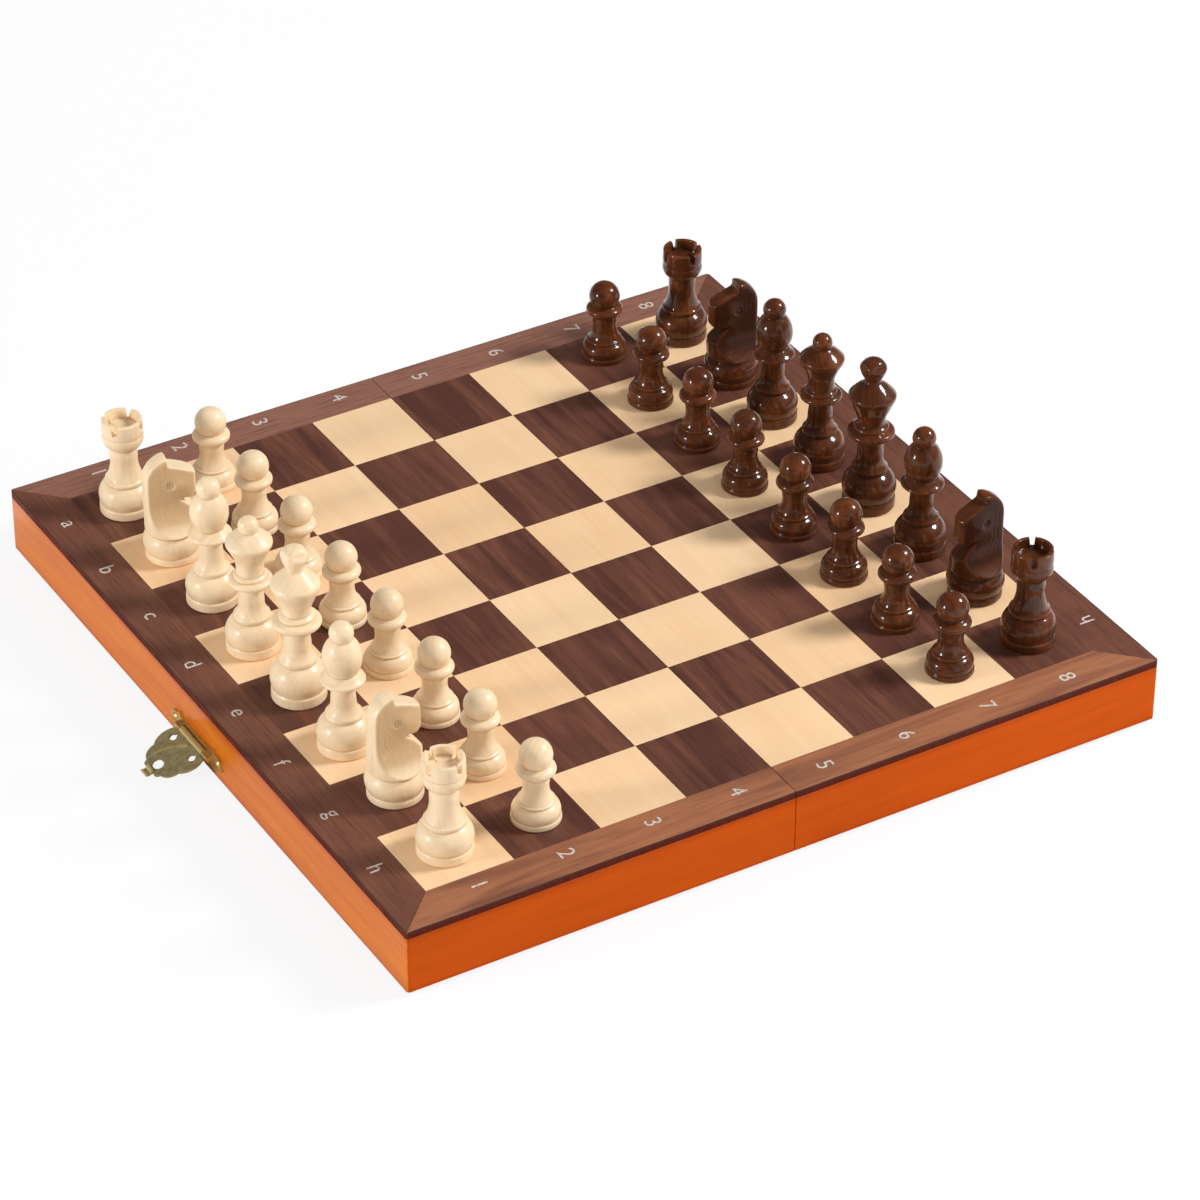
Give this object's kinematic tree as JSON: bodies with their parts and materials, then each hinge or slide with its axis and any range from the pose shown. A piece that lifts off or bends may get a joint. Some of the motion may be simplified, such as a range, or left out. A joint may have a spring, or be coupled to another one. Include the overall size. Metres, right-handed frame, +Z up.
{
  "type": "folding chess board with storage box",
  "caption": "Folding wooden chess board whose hinged halves close into a storage box with a brass hasp, set up with turned and carved men.",
  "frame": {"origin": "middle of the seam between the halves, in the plane of the rims that the open board stands on", "axes": "+X from the white side to the black side, +Y from the h file to the a file, +Z up out of the board"},
  "size_m": [0.3158, 0.29, 0.0862],
  "materials": {
    "light_veneer": "satin",
    "dark_veneer": "satin",
    "border_veneer": "satin",
    "panel_wood": "satin",
    "stained_wood": "satin varnish",
    "pale_men": "satin",
    "dark_men": "gloss lacquer",
    "brass": "polished",
    "aged_brass": "aged"
  },
  "bodies": {
    "white_half": {"white_panel": "panel_wood", "white_light_squares": "light_veneer", "white_dark_squares": "dark_veneer", "white_border": "border_veneer", "white_outer_wall": "stained_wood", "white_inner_wall": "stained_wood", "white_end_walls": "stained_wood", "white_hinge_leaves": "brass", "white_hinge_screws": "brass", "hinge_pins": "brass", "hasp_plate": "brass", "hasp_pin": "brass", "hasp_screws": "brass"},
    "black_half": {"black_panel": "panel_wood", "black_light_squares": "light_veneer", "black_dark_squares": "dark_veneer", "black_border": "border_veneer", "black_outer_wall": "stained_wood", "black_inner_wall": "stained_wood", "black_end_walls": "stained_wood", "black_hinge_leaves": "brass", "black_hinge_screws": "brass", "catch": "brass", "catch_screws": "brass"},
    "hasp": {"hasp_leaf": "aged_brass"},
    "white_rook_a": {"white_rook_a": "pale_men"},
    "white_knight_b": {"white_knight_b": "pale_men"},
    "white_bishop_c": {"white_bishop_c": "pale_men"},
    "white_queen": {"white_queen": "pale_men"},
    "white_king": {"white_king": "pale_men"},
    "white_bishop_f": {"white_bishop_f": "pale_men"},
    "white_knight_g": {"white_knight_g": "pale_men"},
    "white_rook_h": {"white_rook_h": "pale_men"},
    "white_pawn_a": {"white_pawn_a": "pale_men"},
    "white_pawn_b": {"white_pawn_b": "pale_men"},
    "white_pawn_c": {"white_pawn_c": "pale_men"},
    "white_pawn_d": {"white_pawn_d": "pale_men"},
    "white_pawn_e": {"white_pawn_e": "pale_men"},
    "white_pawn_f": {"white_pawn_f": "pale_men"},
    "white_pawn_g": {"white_pawn_g": "pale_men"},
    "white_pawn_h": {"white_pawn_h": "pale_men"},
    "black_rook_a": {"black_rook_a": "dark_men"},
    "black_knight_b": {"black_knight_b": "dark_men"},
    "black_bishop_c": {"black_bishop_c": "dark_men"},
    "black_queen": {"black_queen": "dark_men"},
    "black_king": {"black_king": "dark_men"},
    "black_bishop_f": {"black_bishop_f": "dark_men"},
    "black_knight_g": {"black_knight_g": "dark_men"},
    "black_rook_h": {"black_rook_h": "dark_men"},
    "black_pawn_a": {"black_pawn_a": "dark_men"},
    "black_pawn_b": {"black_pawn_b": "dark_men"},
    "black_pawn_c": {"black_pawn_c": "dark_men"},
    "black_pawn_d": {"black_pawn_d": "dark_men"},
    "black_pawn_e": {"black_pawn_e": "dark_men"},
    "black_pawn_f": {"black_pawn_f": "dark_men"},
    "black_pawn_g": {"black_pawn_g": "dark_men"},
    "black_pawn_h": {"black_pawn_h": "dark_men"}
  },
  "joints": [
    {"name": "board_fold", "type": "hinge", "parent": "white_half", "child": "black_half", "pos_m": [0, 0, -0.0002], "axis": [0, 1, 0], "range_deg": [0, 180]},
    {"name": "hasp_swing", "type": "hinge", "parent": "white_half", "child": "hasp", "pos_m": [-0.14715, 0.0003, 0.007], "axis": [0, 1, 0], "range_deg": [-70, 95]},
    {"name": "lift_white_rook_a", "type": "slide", "parent": "white_half", "child": "white_rook_a", "axis": [0, 0, 1], "range_m": [0, 0.075]},
    {"name": "lift_white_knight_b", "type": "slide", "parent": "white_half", "child": "white_knight_b", "axis": [0, 0, 1], "range_m": [0, 0.075]},
    {"name": "lift_white_bishop_c", "type": "slide", "parent": "white_half", "child": "white_bishop_c", "axis": [0, 0, 1], "range_m": [0, 0.075]},
    {"name": "lift_white_queen", "type": "slide", "parent": "white_half", "child": "white_queen", "axis": [0, 0, 1], "range_m": [0, 0.075]},
    {"name": "lift_white_king", "type": "slide", "parent": "white_half", "child": "white_king", "axis": [0, 0, 1], "range_m": [0, 0.075]},
    {"name": "lift_white_bishop_f", "type": "slide", "parent": "white_half", "child": "white_bishop_f", "axis": [0, 0, 1], "range_m": [0, 0.075]},
    {"name": "lift_white_knight_g", "type": "slide", "parent": "white_half", "child": "white_knight_g", "axis": [0, 0, 1], "range_m": [0, 0.075]},
    {"name": "lift_white_rook_h", "type": "slide", "parent": "white_half", "child": "white_rook_h", "axis": [0, 0, 1], "range_m": [0, 0.075]},
    {"name": "lift_white_pawn_a", "type": "slide", "parent": "white_half", "child": "white_pawn_a", "axis": [0, 0, 1], "range_m": [0, 0.075]},
    {"name": "lift_white_pawn_b", "type": "slide", "parent": "white_half", "child": "white_pawn_b", "axis": [0, 0, 1], "range_m": [0, 0.075]},
    {"name": "lift_white_pawn_c", "type": "slide", "parent": "white_half", "child": "white_pawn_c", "axis": [0, 0, 1], "range_m": [0, 0.075]},
    {"name": "lift_white_pawn_d", "type": "slide", "parent": "white_half", "child": "white_pawn_d", "axis": [0, 0, 1], "range_m": [0, 0.075]},
    {"name": "lift_white_pawn_e", "type": "slide", "parent": "white_half", "child": "white_pawn_e", "axis": [0, 0, 1], "range_m": [0, 0.075]},
    {"name": "lift_white_pawn_f", "type": "slide", "parent": "white_half", "child": "white_pawn_f", "axis": [0, 0, 1], "range_m": [0, 0.075]},
    {"name": "lift_white_pawn_g", "type": "slide", "parent": "white_half", "child": "white_pawn_g", "axis": [0, 0, 1], "range_m": [0, 0.075]},
    {"name": "lift_white_pawn_h", "type": "slide", "parent": "white_half", "child": "white_pawn_h", "axis": [0, 0, 1], "range_m": [0, 0.075]},
    {"name": "lift_black_rook_a", "type": "slide", "parent": "black_half", "child": "black_rook_a", "axis": [0, 0, 1], "range_m": [0, 0.075]},
    {"name": "lift_black_knight_b", "type": "slide", "parent": "black_half", "child": "black_knight_b", "axis": [0, 0, 1], "range_m": [0, 0.075]},
    {"name": "lift_black_bishop_c", "type": "slide", "parent": "black_half", "child": "black_bishop_c", "axis": [0, 0, 1], "range_m": [0, 0.075]},
    {"name": "lift_black_queen", "type": "slide", "parent": "black_half", "child": "black_queen", "axis": [0, 0, 1], "range_m": [0, 0.075]},
    {"name": "lift_black_king", "type": "slide", "parent": "black_half", "child": "black_king", "axis": [0, 0, 1], "range_m": [0, 0.075]},
    {"name": "lift_black_bishop_f", "type": "slide", "parent": "black_half", "child": "black_bishop_f", "axis": [0, 0, 1], "range_m": [0, 0.075]},
    {"name": "lift_black_knight_g", "type": "slide", "parent": "black_half", "child": "black_knight_g", "axis": [0, 0, 1], "range_m": [0, 0.075]},
    {"name": "lift_black_rook_h", "type": "slide", "parent": "black_half", "child": "black_rook_h", "axis": [0, 0, 1], "range_m": [0, 0.075]},
    {"name": "lift_black_pawn_a", "type": "slide", "parent": "black_half", "child": "black_pawn_a", "axis": [0, 0, 1], "range_m": [0, 0.075]},
    {"name": "lift_black_pawn_b", "type": "slide", "parent": "black_half", "child": "black_pawn_b", "axis": [0, 0, 1], "range_m": [0, 0.075]},
    {"name": "lift_black_pawn_c", "type": "slide", "parent": "black_half", "child": "black_pawn_c", "axis": [0, 0, 1], "range_m": [0, 0.075]},
    {"name": "lift_black_pawn_d", "type": "slide", "parent": "black_half", "child": "black_pawn_d", "axis": [0, 0, 1], "range_m": [0, 0.075]},
    {"name": "lift_black_pawn_e", "type": "slide", "parent": "black_half", "child": "black_pawn_e", "axis": [0, 0, 1], "range_m": [0, 0.075]},
    {"name": "lift_black_pawn_f", "type": "slide", "parent": "black_half", "child": "black_pawn_f", "axis": [0, 0, 1], "range_m": [0, 0.075]},
    {"name": "lift_black_pawn_g", "type": "slide", "parent": "black_half", "child": "black_pawn_g", "axis": [0, 0, 1], "range_m": [0, 0.075]},
    {"name": "lift_black_pawn_h", "type": "slide", "parent": "black_half", "child": "black_pawn_h", "axis": [0, 0, 1], "range_m": [0, 0.075]}
  ]
}
